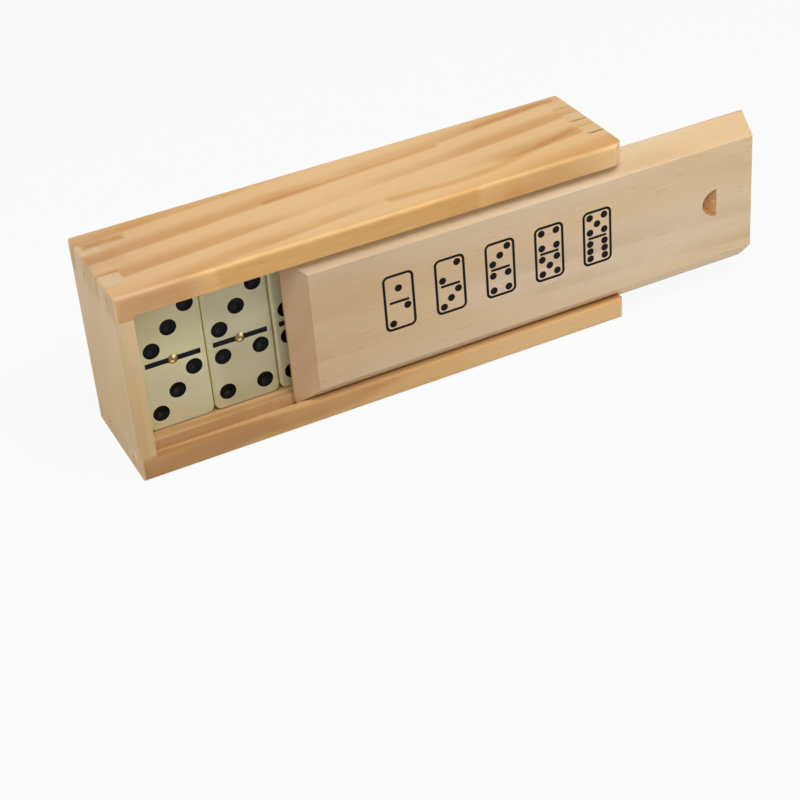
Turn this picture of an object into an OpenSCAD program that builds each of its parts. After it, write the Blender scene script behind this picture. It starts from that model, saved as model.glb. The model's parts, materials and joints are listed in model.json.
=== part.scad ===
// Wooden box with a sliding lid, packed with a double-six set of dominoes.
// The box stands on one of its long boards. X runs along it, and the lid
// closes its front, at -Y, and slides out at +X. Z is up. The origin is the
// centre of the face that the box stands on.

/* [Domino] */
// Width of a domino
domino_width = 25; // [24:0.5:28]
// Length of a domino
domino_length = 54.5; // [50:0.5:58]
// Thickness of a domino
domino_thickness = 7.4; // [6.6:0.1:10]
// Radius of a domino's four corners, seen from its face
domino_corner = 2.8; // [2:0.1:3.5]
// Radius of the rounding around a domino's rim
domino_rim = 1.1; // [0.6:0.1:1.5]
// Diameter of a pip
pip_diameter = 6.3; // [4:0.1:6.4]
// Depth of a pip's dished recess
pip_depth = 0.9; // [0.4:0.1:1.4]
// Distance from the middle column of pips to each outer column
pip_across = 7.2; // [6.4:0.1:7.4]
// Distance from the middle row of pips to each outer row
pip_along = 7.4; // [6.6:0.1:7.6]
// Distance from the middle of a domino to the middle row of pips of each half
pip_middle = 13; // [12.4:0.1:14]
// Length of the bar that divides a domino's face
bar_length = 20.6; // [18:0.1:21.4]
// Width of the bar
bar_width = 2; // [1.4:0.1:2.6]
// Depth of the bar's groove
bar_depth = 0.5; // [0.3:0.05:0.8]

/* [Spinner pin] */
// Diameter of the pin's domed head
pin_head = 3.8; // [3.2:0.1:4.4]
// Height of the domed head
pin_dome = 0.7; // [0.5:0.05:1.1]
// Diameter of the pin's shank
pin_shank = 2; // [1.6:0.1:2.4]
// Length of the pin's shank
pin_length = 5; // [3:0.1:5.6]

/* [Box] */
// Thickness of the two long boards, above and below the dominoes
long_board = 9.75; // [9:0.25:12]
// Thickness of the two end boards
end_board = 8; // [7:0.25:10]
// Thickness of the panel that closes the back
back_panel = 4; // [3:0.25:5]
// How far the back panel laps onto the boards around it
panel_lap = 4; // [3:0.25:5]
// How far the long boards' front lips stand back from their inner faces
long_lip = 1.4; // [0.8:0.1:2.4]
// How far the left end board's front lip stands back from its inner face
end_lip = 2; // [1:0.1:2.4]
// Radius of the front lips' corners beside the lid's way out
lip_round = 2.5; // [1:0.25:2.75]
// Radius of the box's upright corners at the back
back_round = 4; // [1.5:0.25:4]
// Radius of the upright corner at the front, at the left-hand end
left_round = 2; // [1:0.25:4]
// Radius of the long boards' front corners at the right-hand end
right_round = 5.5; // [2:0.25:6]
// Radius along the box's long edges
long_round = 2; // [0.8:0.1:2.4]
// Radius along the top and bottom edges of the box's ends
end_round = 1.2; // [0.4:0.1:1.6]

/* [Lid] */
// Thickness of the lid
lid_thickness = 8; // [7:0.25:9]
// Width of the bevel around the lid's face
lid_bevel = 7.75; // [6.5:0.25:9]
// Height of the square edge that is left behind the bevel
lid_land = 1; // [0.6:0.1:1.6]
// How far the lid's long edges reach into the long boards
lid_bite = 3.75; // [3:0.25:5]
// How far the lid's left edge reaches into the end board
lid_end_bite = 3; // [2.5:0.25:4]
// Radius of the lid's two corners at its inner end, seen from its face
lid_corner = 2; // [0.5:0.25:3]
// How far the lid stands open at rest
lid_open = 56.5; // [52:0.5:76]
// Radius of the cutter that makes the thumb notch
notch_radius = 5.8; // [5:0.1:8]
// Lean of the cutter, from the lid's face, in degrees
notch_tilt = 55; // [45:1:65]
// Distance across the thumb notch, from its tip to its straight edge
notch_reach = 6.6; // [5:0.1:7.5]
// Distance from the notch's straight edge to the lid's outer end
notch_from_end = 16; // [12:0.5:24]

/* [Fits] */
// Gap beside each domino in its row
row_gap = 0.4; // [0.2:0.05:0.8]
// Spare length at the end of a row
row_spare = 4.2; // [1:0.1:5]
// Room above the dominoes
headroom = 1; // [0.5:0.1:2]
// Gap between the spinner heads and the row in front of them
layer_gap = 0.05; // [0.05:0.01:0.25]
// Gap between the back row and the back panel
back_gap = 0.75; // [0.3:0.05:0.95]
// Room between the lid and the faces of the front row
front_room = 5; // [4.4:0.1:8]
// Clearance around the lid in its grooves
lid_gap = 0.4; // [0.2:0.05:0.6]
// Gap beside each finger of the corner joints
finger_gap = 0.1; // [0.05:0.01:0.2]
// Gap in front of each tenon of the right end, whose joints are looser
loose_gap = 0.6; // [0.1:0.1:0.9]
// Gap around the back panel in its rebate
panel_gap = 0.15; // [0.05:0.05:0.4]
// Gap around a spinner pin's shank in its hole
pin_gap = 0.03; // [0.01:0.01:0.1]

/* [Hidden] */
// A double-six set has 28 dominoes: four rows of seven.
most_pips = 6;
columns = 7;
rows = 4;
pairs = [for (a = [0:most_pips]) for (b = [a:most_pips]) [a, b]];
tiles = [0:columns * rows - 1];
// The set is packed in order, with the double three first in the front row.
first_pair = search([[3, 3]], pairs)[0];
// Only the front row's first two dominoes can be lifted out past the lid.
loose_tiles = 2;

// The left end's depth is shared out in six parts, and parts 1 and 4 are its
// tenons. The right end starts behind the lid, and its depth in seven parts,
// of which 1, 3 and 5 are tenons.
left_parts = 6;
left_tenons = [1, 4];
right_parts = 7;
right_tenons = [1, 3, 5];

curve = 64;
// How far a cutter runs past the face that it cuts
past = 1;

inner_length = columns * (domino_width + row_gap) + row_spare;
inner_height = domino_length + headroom;
row_pitch = domino_thickness + pin_dome + layer_gap;
rows_depth = rows * domino_thickness + (rows - 1) * (pin_dome + layer_gap);

box_length = inner_length + 2 * end_board;
box_height = inner_height + 2 * long_board;
box_depth = lid_thickness + lid_gap + front_room + rows_depth + back_gap + back_panel;

front_y = -box_depth / 2;
back_y = box_depth / 2;
lid_back_y = front_y + lid_thickness;
land_y = lid_back_y - lid_land;
panel_y = back_y - back_panel;
middle_z = box_height / 2;
way_back_y = lid_back_y + lid_gap;
left_pitch = box_depth / left_parts;
right_pitch = (back_y - way_back_y) / right_parts;

// The lid's half height and the place of its left edge when it is shut
lid_half = inner_height / 2 + lid_bite;
lid_left = inner_length / 2 + lid_end_bite;
bevel_depth = lid_thickness - lid_land;

// Pip places of one half of a face, in steps from its middle
function pip_places(count) = concat(
    count % 2 == 1 ? [[0, 0]] : [],
    count >= 2 ? [[-1, -1], [1, 1]] : [],
    count >= 4 ? [[-1, 1], [1, -1]] : [],
    count == 6 ? [[-1, 0], [1, 0]] : []);

function column(t) = t % columns;
function row(t) = floor(t / columns);
function pair(t) = pairs[(first_pair + t) % len(pairs)];
function domino_name(t) = str("domino_", pair(t)[0], "_", pair(t)[1]);
function pin_name(t) = str("pin_", pair(t)[0], "_", pair(t)[1]);
function pins_name(r) = str("row_", r + 1, "_pins");

// Where a domino's face stands: the middle of its lower edge
function tile_place(t) = [
    -inner_length / 2 + row_gap + domino_width / 2 + column(t) * (domino_width + row_gap),
    way_back_y + front_room + row(t) * row_pitch,
    long_board];

// The lid's bevelled edge as [reach, y], from its back to its face, grown
// on every side by the slack.
function bevel_line(reach, slack) =
    let (shift = slack * norm([lid_bevel, bevel_depth]) / bevel_depth,
         rise = (shift - slack) * bevel_depth / lid_bevel)
    [[reach + slack, lid_back_y + slack],
     [reach + slack, land_y - rise],
     [reach - lid_bevel + shift, front_y]];

// ---- outlines ----

module rounded_rect(size, radius) {
    square([size[0] - 2 * radius, size[1]], center = true);
    square([size[0], size[1] - 2 * radius], center = true);
    for (x = [-1, 1], y = [-1, 1])
        translate([x * (size[0] / 2 - radius), y * (size[1] / 2 - radius)])
            circle(r = radius, $fn = curve);
}

// What a rounding takes off a square corner at the origin, whose sides run
// to -X and -Y
module corner_cut(radius) {
    difference() {
        translate([-radius, -radius]) square(radius + past);
        translate([-radius, -radius]) circle(r = radius, $fn = curve);
    }
}

// A 2D outline drawn in Y and Z, extruded along X
module along_x(length) {
    rotate([90, 0, 90]) linear_extrude(length, center = true) children();
}

// A 2D outline drawn in X and Z, extruded along Y
module along_y(length) {
    rotate([90, 0, 0]) linear_extrude(length, center = true) children();
}

// ---- box ----

// The box seen from above, with its own radius at each front corner
module box_plan() {
    difference() {
        square([box_length, box_depth], center = true);
        translate([box_length / 2, back_y]) corner_cut(back_round);
        translate([-box_length / 2, back_y]) rotate(90) corner_cut(back_round);
        translate([-box_length / 2, front_y]) rotate(180) corner_cut(left_round);
        translate([box_length / 2, front_y]) rotate(-90) corner_cut(right_round);
    }
}

// The whole box as one block with eased edges
module box_block() {
    intersection() {
        linear_extrude(box_height) box_plan();
        translate([0, 0, middle_z]) along_x(box_length)
            rounded_rect([box_depth, box_height], long_round);
        translate([0, 0, middle_z]) along_y(box_depth)
            rounded_rect([box_length, box_height], end_round);
    }
}

// The lid's bevelled form when it is shut, grown by the slack and running
// to x = right
module lid_form(slack, right) {
    long_edge = bevel_line(lid_half, slack);
    left_edge = bevel_line(lid_left, slack);
    length = right + lid_left + 2 * past;
    intersection() {
        translate([right - length / 2, 0, middle_z]) along_x(length)
            polygon([
                for (p = long_edge) [p[1], p[0]],
                for (i = [2:-1:0]) [long_edge[i][1], -long_edge[i][0]]]);
        linear_extrude(box_height)
            polygon([
                for (p = left_edge) [-p[0], p[1]],
                [right, front_y],
                [right, lid_back_y + slack]]);
    }
}

// What the lid needs clear: its grooves, the window between the front
// lips, and the way out at the right-hand end, where the lips' corners are
// rounded
module lid_way() {
    right = box_length / 2 + past;
    left = inner_length / 2 + end_lip;
    half = inner_height / 2 + long_lip;
    lid_form(lid_gap, right);
    translate([-left, front_y - past, middle_z - half])
        cube([left + right, way_back_y - front_y + past, 2 * half]);
    for (side = [-1, 1])
        translate([box_length / 2, front_y, middle_z + side * half])
            along_y(2 * lid_thickness) rotate(side > 0 ? -90 : 0) corner_cut(lip_round);
}

module back_plate(gap, depth) {
    width = inner_length + 2 * (panel_lap - gap);
    height = inner_height + 2 * (panel_lap - gap);
    translate([-width / 2, panel_y, middle_z - height / 2]) cube([width, depth, height]);
}

// Tenons of an end board, or with gaps their sockets: side is -1 for the
// left end and 1 for the right, and front_gap is the one before each tenon
module tenon_blocks(side, low, high, front_gap, gap) {
    reach = gap > 0 ? past : 0;
    start = side > 0 ? way_back_y : front_y;
    pitch = side > 0 ? right_pitch : left_pitch;
    for (i = side > 0 ? right_tenons : left_tenons)
        translate([
            side > 0 ? inner_length / 2 : -inner_length / 2 - end_board - reach,
            start + i * pitch - front_gap,
            low - reach])
            cube([end_board + reach, pitch + front_gap + gap, high - low + 2 * reach]);
}

module long_board_at(low) {
    difference() {
        intersection() {
            box_block();
            translate([-box_length / 2, front_y, low]) cube([box_length, box_depth, long_board]);
        }
        lid_way();
        back_plate(0, back_panel + past);
        tenon_blocks(-1, low, low + long_board, finger_gap, finger_gap);
        tenon_blocks(1, low, low + long_board, loose_gap, finger_gap);
    }
}

module end_board_at(side) {
    difference() {
        intersection() {
            box_block();
            union() {
                translate([side > 0 ? inner_length / 2 : -box_length / 2, front_y, long_board])
                    cube([end_board, box_depth, inner_height]);
                tenon_blocks(side, 0, box_height, 0, 0);
            }
        }
        lid_way();
        back_plate(0, back_panel + past);
    }
}

module top_board() {
    color("burlywood") long_board_at(box_height - long_board);
}

module bottom_board() {
    color("burlywood") long_board_at(0);
}

module left_end() {
    color("tan") end_board_at(-1);
}

module right_end() {
    color("tan") end_board_at(1);
}

module back_panel() {
    color("wheat") back_plate(panel_gap, back_panel);
}

// Half-moon notch: a round cutter, leaned over, whose flat end leaves the
// slope that a thumb pushes on
module thumb_notch() {
    sink = notch_reach * sin(notch_tilt);
    run = 2 * notch_radius / tan(notch_tilt);
    translate([box_length / 2 - notch_from_end, front_y, middle_z])
        rotate(notch_tilt)
            translate([0, sink - notch_radius, 0])
                rotate([0, -90, 0]) cylinder(r = notch_radius, h = run, $fn = curve);
}

// The lid's rounded inner corners, seen from its face. The outline runs on
// past the lid's outer end, which stays square.
module lid_outline() {
    length = lid_left + box_length / 2 + past + lid_corner;
    translate([length / 2 - lid_left, front_y + lid_thickness / 2, middle_z])
        along_y(lid_thickness + past)
            rounded_rect([length, 2 * lid_half], lid_corner);
}

// The lid stands part open at rest.
module lid() {
    color("bisque")
        translate([lid_open, 0, 0])
            difference() {
                intersection() {
                    lid_form(0, box_length / 2);
                    lid_outline();
                }
                thumb_notch();
            }
}

// ---- dominoes ----

// Plain slab with round corners and a rounded rim. It stands on z = 0 with
// its face at y = 0.
module domino_slab() {
    corner_x = domino_width / 2 - domino_corner;
    corner_z = domino_length / 2 - domino_corner;
    translate([0, domino_thickness / 2, domino_length / 2]) {
        along_x(2 * corner_x) rounded_rect([domino_thickness, domino_length], domino_rim);
        linear_extrude(2 * corner_z, center = true)
            rounded_rect([domino_width, domino_thickness], domino_rim);
        for (x = [-corner_x, corner_x], z = [-corner_z, corner_z])
            translate([x, 0, z]) domino_puck();
    }
}

// One round corner of a domino
module domino_puck() {
    rotate([90, 0, 0])
        rotate_extrude($fn = curve)
            intersection() {
                rounded_rect([2 * domino_corner, domino_thickness], domino_rim);
                translate([0, -domino_thickness / 2]) square([domino_corner, domino_thickness]);
            }
}

// Dished recesses of one half of a face
module pip_recesses(count) {
    ball = (pow(pip_diameter / 2, 2) + pow(pip_depth, 2)) / (2 * pip_depth);
    for (p = pip_places(count))
        translate([p[0] * pip_across, pip_depth - ball, p[1] * pip_along])
            sphere(r = ball, $fn = curve);
}

module domino(t) {
    color("ivory")
        translate(tile_place(t))
            difference() {
                domino_slab();
                translate([0, 0, domino_length / 2]) {
                    translate([0, 0, pip_middle]) pip_recesses(pair(t)[0]);
                    translate([0, 0, -pip_middle]) pip_recesses(pair(t)[1]);
                    translate([-bar_length / 2, -past, -bar_width / 2])
                        cube([bar_length, past + bar_depth, bar_width]);
                    rotate([-90, 0, 0])
                        cylinder(d = pin_shank + 2 * pin_gap, h = pin_length + pin_gap, $fn = curve);
                }
            }
}

// Brass pin with a domed head, in the middle of a domino's face
module spinner_pin(t) {
    ball = (pow(pin_head / 2, 2) + pow(pin_dome, 2)) / (2 * pin_dome);
    color("goldenrod")
        translate(tile_place(t) + [0, 0, domino_length / 2])
            rotate([90, 0, 0])
                rotate_extrude($fn = curve) {
                    intersection() {
                        translate([0, pin_dome - ball]) circle(r = ball, $fn = curve);
                        square([pin_head / 2, pin_dome]);
                    }
                    translate([0, -pin_length]) square([pin_shank / 2, pin_length]);
                }
}

// The pins of one row, apart from those of the loose dominoes
module row_pins(r) {
    for (t = [r * columns:(r + 1) * columns - 1])
        if (t >= loose_tiles) spinner_pin(t);
}

top_board();
bottom_board();
left_end();
right_end();
back_panel();
lid();
for (t = tiles)
    domino(t);
for (t = [0:loose_tiles - 1])
    spinner_pin(t);
for (r = [0:rows - 1])
    row_pins(r);
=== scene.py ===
# %% [markdown]
# # A wooden domino box with a sliding lid
# The box is finger-jointed from lacquered pine and packed with a double-six
# set of ivory-coloured dominoes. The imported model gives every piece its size
# and place, so this script is about surfaces: eased edges, grain, printing,
# polished resin and brass. Everything is in metres, in the model's own frame,
# and sizes on a piece are written in millimetres.

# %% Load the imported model
import json
import math
from collections import namedtuple

import bmesh
import bpy
from mathutils import Matrix, Vector

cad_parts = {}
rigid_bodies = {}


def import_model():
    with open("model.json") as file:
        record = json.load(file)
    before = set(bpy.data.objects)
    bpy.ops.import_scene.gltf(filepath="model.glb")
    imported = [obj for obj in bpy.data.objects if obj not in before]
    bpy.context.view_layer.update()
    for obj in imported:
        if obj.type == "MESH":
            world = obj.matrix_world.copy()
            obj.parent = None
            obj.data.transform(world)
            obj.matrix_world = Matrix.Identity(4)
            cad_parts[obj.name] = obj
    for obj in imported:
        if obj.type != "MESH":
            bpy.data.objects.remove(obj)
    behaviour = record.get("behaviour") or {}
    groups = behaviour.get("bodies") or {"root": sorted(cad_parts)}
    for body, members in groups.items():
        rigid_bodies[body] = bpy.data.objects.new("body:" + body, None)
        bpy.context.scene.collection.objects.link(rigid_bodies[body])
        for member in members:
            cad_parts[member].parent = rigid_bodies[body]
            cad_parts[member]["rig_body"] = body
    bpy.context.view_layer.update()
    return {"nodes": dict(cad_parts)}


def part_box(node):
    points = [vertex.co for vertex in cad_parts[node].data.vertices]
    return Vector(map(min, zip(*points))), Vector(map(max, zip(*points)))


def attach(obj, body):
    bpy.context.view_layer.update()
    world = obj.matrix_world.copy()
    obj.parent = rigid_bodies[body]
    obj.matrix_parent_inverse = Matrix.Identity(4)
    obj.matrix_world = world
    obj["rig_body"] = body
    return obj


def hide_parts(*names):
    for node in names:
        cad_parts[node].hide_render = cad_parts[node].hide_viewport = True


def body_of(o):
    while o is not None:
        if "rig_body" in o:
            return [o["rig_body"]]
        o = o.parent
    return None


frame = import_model()
MM = 0.001

# %% [markdown]
# ## The camera
# Seen from close by, a long box looks wedge-shaped, because its far end
# shrinks. A long lens from some way off keeps its proportions. The camera
# stands to the left and above, looks down at the lid, and is tipped a little,
# so that the box runs uphill. The frame is lowered by shifting the sensor and
# not by aiming lower, which would make the uprights lean.

# %% Place the camera
CAMERA_PLACE = Vector((-0.2319, -0.5528, 0.3921))
CAMERA_AIM = Vector((0.0040, -0.0250, 0.0399))
CAMERA_ROLL = math.radians(-4.97)
LENS_MM = 85.5
SENSOR_MM = 36.0
SENSOR_SHIFT = -0.125


def place_camera():
    data = bpy.data.cameras.new("camera")
    data.lens = LENS_MM
    data.sensor_width = SENSOR_MM
    data.shift_y = SENSOR_SHIFT
    camera = bpy.data.objects.new("camera", data)
    turn = (CAMERA_AIM - CAMERA_PLACE).to_track_quat("-Z", "Y").to_matrix().to_4x4()
    camera.matrix_world = Matrix.Translation(CAMERA_PLACE) @ turn @ Matrix.Rotation(CAMERA_ROLL, 4, "Z")
    bpy.context.scene.collection.objects.link(camera)
    bpy.context.scene.camera = camera


place_camera()
print("camera stands", round((CAMERA_AIM - CAMERA_PLACE).length, 3), "m from its aim")

# %% [markdown]
# ## Shader maths
# A procedural finish is mostly arithmetic on positions, and long chains of
# Math nodes are hard to read. This class wraps a socket, so that the
# arithmetic can be written as ordinary Python, and every operator adds the
# node that does it. Colours have their own method, because a Math node would
# turn them grey.

# %% Wrap sockets for shader maths
class Value:
    """A socket in a node tree. Operators on it add Math nodes."""

    def __init__(self, tree, socket=None):
        self.tree = tree
        self.socket = socket

    def node(self, kind, settings=None, sockets=None, out=0):
        """Adds any node: its settings first, then values or links for its sockets."""
        made = self.tree.nodes.new(kind)
        for name, setting in (settings or {}).items():
            setattr(made, name, setting)
        for name, value in (sockets or {}).items():
            if isinstance(value, Value):
                self.tree.links.new(value.socket, made.inputs[name])
            else:
                made.inputs[name].default_value = value
        return Value(self.tree, made.outputs[out])

    def output(self, name):
        """Another output of the same node."""
        return Value(self.tree, self.socket.node.outputs[name])

    def math(self, operation, *others):
        """Adds a Math node with this value as its first."""
        return self.node("ShaderNodeMath", {"operation": operation}, dict(enumerate((self, *others))))

    def vector(self, operation, other=None, **sockets):
        """Adds a Vector Math node with this vector as its first."""
        if other is not None:
            sockets[1] = other
        return self.node("ShaderNodeVectorMath", {"operation": operation}, {0: self, **sockets})

    def __add__(self, other):
        return self.math("ADD", other)

    def __sub__(self, other):
        return self.math("SUBTRACT", other)

    def __mul__(self, other):
        return self.math("MULTIPLY", other)

    def __truediv__(self, other):
        return self.math("DIVIDE", other)

    def __rsub__(self, other):
        return self.math("MULTIPLY_ADD", -1.0, other)

    def __abs__(self):
        return self.math("ABSOLUTE")

    def __lt__(self, other):
        return self.math("LESS_THAN", other)

    def __gt__(self, other):
        return self.math("GREATER_THAN", other)

    __radd__ = __add__
    __rmul__ = __mul__

    def least(self, other):
        return self.math("MINIMUM", other)

    def most(self, other):
        return self.math("MAXIMUM", other)

    def ramp(self, low, high, start=0.0, end=1.0):
        """Eases from start to end as this value goes from low to high."""
        sockets = {"Value": self, 1: low, 2: high, 3: start, 4: end}
        return self.node("ShaderNodeMapRange", {"interpolation_type": "SMOOTHSTEP"}, sockets)

    def parts(self):
        """The three numbers of a vector."""
        split = self.node("ShaderNodeSeparateXYZ", None, {0: self})
        return [split.output(axis) for axis in "XYZ"]

    def joined(self, y, z):
        """A vector with this value as its x."""
        return self.node("ShaderNodeCombineXYZ", None, {0: self, 1: y, 2: z})

    def noise(self, detail=2.0, roughness=0.5):
        """Cloudy noise from 0 to 1 at this position."""
        sockets = {"Vector": self, "Detail": detail, "Roughness": roughness, "Scale": 1.0}
        return self.node("ShaderNodeTexNoise", None, sockets)

    def colours(self, first, second, blend="MIX"):
        """Mixes two colours by this value."""
        sockets = {"Factor": self, 6: first, 7: second}
        return self.node("ShaderNodeMix", {"data_type": "RGBA", "blend_type": blend}, sockets, out=2)


print("operators that add nodes: + - * / abs < >")

# %% [markdown]
# ## Starting a material
# One kind of shader, the Principled one, covers wood, resin, paint and brass.
# What is the same all over a piece is typed into the shader's own sockets,
# and only what varies is linked. A pattern could be laid on with an unwrapped
# image, but it would break at every corner. Worked out from the place in
# space instead, it runs through the piece, as grain does in a real board, and
# in millimetres its numbers read as on a ruler.

# %% Start a material
def colour(red, green, blue):
    return (red, green, blue, 1.0)


def darker(shade, share):
    """A shade with only a share of its light."""
    return colour(*[share * part for part in shade])


def tinted(body, mask, tint):
    """The body colour, multiplied by a tint where the mask is 1."""
    return mask.colours(body, colour(*tint), blend="MULTIPLY")


def new_material(name, **settings):
    """A material and its shader, with what is the same all over set on the shader itself."""
    material = bpy.data.materials.new(name)
    material.use_nodes = True
    shader = material.node_tree.nodes["Principled BSDF"]
    for socket, value in settings.items():
        shader.inputs[socket.replace("_", " ")].default_value = value
    return material, shader


def place_and_normal(material):
    """The place on the piece, in millimetres in the model's frame, and the way its surface faces."""
    coordinates = Value(material.node_tree).node("ShaderNodeTexCoord")
    return coordinates.output("Object").vector("SCALE", Scale=1 / MM), coordinates.output("Normal")


def feed(shader, **sockets):
    """Links what varies over the surface to the shader's sockets."""
    for name, value in sockets.items():
        shader.id_data.links.new(value.socket, shader.inputs[name.replace("_", " ")])


def bump(height, distance_mm, strength):
    """A normal from a height between 0 and 1."""
    sockets = {"Height": height, "Strength": strength, "Distance": distance_mm * MM}
    return height.node("ShaderNodeBump", None, sockets)


def from_point(u, v, point):
    """The distance of (u, v) from a point, in a plane."""
    across, up = u - point[0], v - point[1]
    return (across * across + up * up).math("SQRT")


print("materials that came with the packed model:", len(bpy.data.materials))

# %% [markdown]
# ## Pine
# Pine shows pale early wood and darker late wood in rings. A board cut from
# the log shows those rings as long streaks on its faces and as arcs on its
# ends. A streaky picture on each face couldn't turn that corner, but one
# solid pattern gives both: rings around a pith line that runs along the
# grain, bent by slow noise. Fine fibres and short dark resin flecks lie on
# top, both from noise drawn out along the grain.

# %% Grow the rings
# How far each pattern reaches along the grain and across it.
SLOW_MM = (150.0, 32.0)
FIBRE_MM = (14.0, 0.42)
FLECK_MM = (8.0, 0.42)
# An offset looks up noise elsewhere, so that two patterns aren't alike.
SWELL_OFFSET = (11.3, 4.1, 7.7)


def drawn_out(along, across, reach):
    """Where noise is looked up, so that it is reach[0] long on the grain and reach[1] wide."""
    return (along / reach[0]).joined(across[0] / reach[1], across[1] / reach[1])


def late_wood(along, across, slow, pith, ring, wander, drift):
    """From 0 in the pale early wood to 1 in the dark late wood, which builds up slowly through each
    ring and stops short at its end."""
    wave = slow.noise(detail=1.5) - 0.5
    swell = slow.vector("ADD", SWELL_OFFSET).noise(detail=1.0) - 0.5
    u = across[0] - pith[0] + along * drift + wave * wander[0]
    v = across[1] - pith[1] + swell * wander[1]
    radius = (u * u + v * v).math("SQRT")
    phase = (radius / ring + wave * 0.6).math("FRACT")
    return phase.ramp(0.2, 0.8) * phase.ramp(0.84, 1.0, 1.0, 0.0)


print("fibres are", round(FIBRE_MM[0] / FIBRE_MM[1]), "times as long as they are wide")

# %% [markdown]
# ## Marks of making, and painted highlights
# Boards with nothing but grain look stamped from one sheet. On a real box,
# resin bleeds into dark streaks and glue stains the wood beside a joint. Such
# marks could be painted by hand on an image. Here each is a line or a soft box
# at a known place on its board, ragged by noise, and it multiplies the wood's
# colour by a tint: one under 1 darkens, and one over 1 makes the wood paler.
# Some boxes only tint a place deeper or paler, and the rounded edges are
# painted paler, as a painted highlight.

# %% Find the edges, streaks and stains
STREAK_TINT = (0.88, 0.74, 0.54)
# Rounded edges are tinted paler as a painted highlight.
EDGE_HIGHLIGHT_TINT = (1.14, 1.20, 1.32)


def rounded_edge(normal):
    """1 where a face that looks along Y rounds over into the next one, and on the slopes of the lid
    grooves, 0 on the faces. The painted edge highlight goes there."""
    facing = abs(normal.parts()[1])
    return facing.ramp(0.25, 0.6) * facing.ramp(0.78, 0.96, 1.0, 0.0)


def streak(place, half_width, points):
    """1 along a line through points (x, y) on the board's broad face, 0 beside it."""
    x, y, _ = place.parts()
    nearest = None
    for start, stop in zip(points, points[1:]):
        run, rise = stop[0] - start[0], stop[1] - start[1]
        u, v = x - start[0], y - start[1]
        along = ((u * run + v * rise) / (run * run + rise * rise)).most(0.0).least(1.0)
        reach = from_point(u, v, (along * run, along * rise))
        nearest = nearest.least(reach) if nearest else reach
    ragged = place.vector("MULTIPLY", (0.05, 0.5, 0.5)).noise() - 0.5
    return (nearest + ragged * half_width).ramp(0.2 * half_width, 1.3 * half_width, 1.0, 0.0)


def outside_box(place, middle, half):
    """How far a place lies outside a box given by its middle and half size, less than 0 inside."""
    x, y, z = place.vector("SUBTRACT", middle).vector("ABSOLUTE").vector("SUBTRACT", half).parts()
    return x.most(y).most(z)


def stain(place, middle, half, soft):
    """1 inside a box given by its middle and half size, 0 outside, with a ragged soft edge."""
    ragged = place.vector("MULTIPLY", (0.12, 0.6, 0.6)).noise() - 0.5
    return (outside_box(place, middle, half) + ragged * soft * 2.0).ramp(-soft, soft, 1.0, 0.0)


print("a streak tints the wood by", STREAK_TINT)

# %% Mark a board
def marked(body, place, normal, along, edge_highlight, tone_and_shade_gradient, streaks, stains):
    """The wood's colour with a painted highlight on its rounded edges, a gradient along the grain, which
    on some boards is painted shade, its streaks and its stains.
    """
    # A painted highlight on the rounded edges.
    if edge_highlight:
        body = tinted(body, rounded_edge(normal) * edge_highlight, EDGE_HIGHLIGHT_TINT)
    # A gradient along the grain; on the lid and the left end board it is painted shade.
    if tone_and_shade_gradient:
        start, stop, tint = tone_and_shade_gradient
        body = tinted(body, along.ramp(start, stop, 1.0, 0.0), tint)
    for half_width, *points in streaks:
        body = tinted(body, streak(place, half_width, points), STREAK_TINT)
    for middle, half, soft, tint in stains:
        body = tinted(body, stain(place, middle, half, soft), tint)
    return body


# The edge tint printed here is a painted highlight.
print("a rubbed edge tints it by", EDGE_HIGHLIGHT_TINT)

# %% [markdown]
# ## Lacquered wood
# The rings, fibres and flecks make a depth of colour between the early and
# the late wood. Where a board is cut across the grain, its open pores soak up
# the lacquer, so there the rings give way to a speckled colour of their own,
# and the gloss drops. Slow warm patches stand for the uneven lacquer. One
# function makes every board from its own grain, colours and marks, because
# boards from different planks differ in just those. A shared material would
# be quicker, but would give all six boards the same figure.

# %% Mix the wood
LACQUER_COAT = 0.1
FIBRE_CONTRAST = 0.34
PATCH_CONTRAST = 0.2
FLECK_SHADE = 0.68
PORE_SHADE = 0.84
CUT_SHARE = 0.85
WARM_TINT = (1.0, 0.93, 0.82)
WARM_OFFSET = (3.1, 8.3, 1.9)
Tones = namedtuple("Tones", "early late cut")
Wood = namedtuple("Wood", "material shader body place normal")


def end_cut(place, cut):
    """The speckled colour of wood cut across the grain."""
    pores = place.vector("SCALE", Scale=1.6).noise(detail=3.0, roughness=0.7).ramp(0.3, 0.75)
    return pores.colours(colour(*cut), darker(cut, PORE_SHADE))


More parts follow.
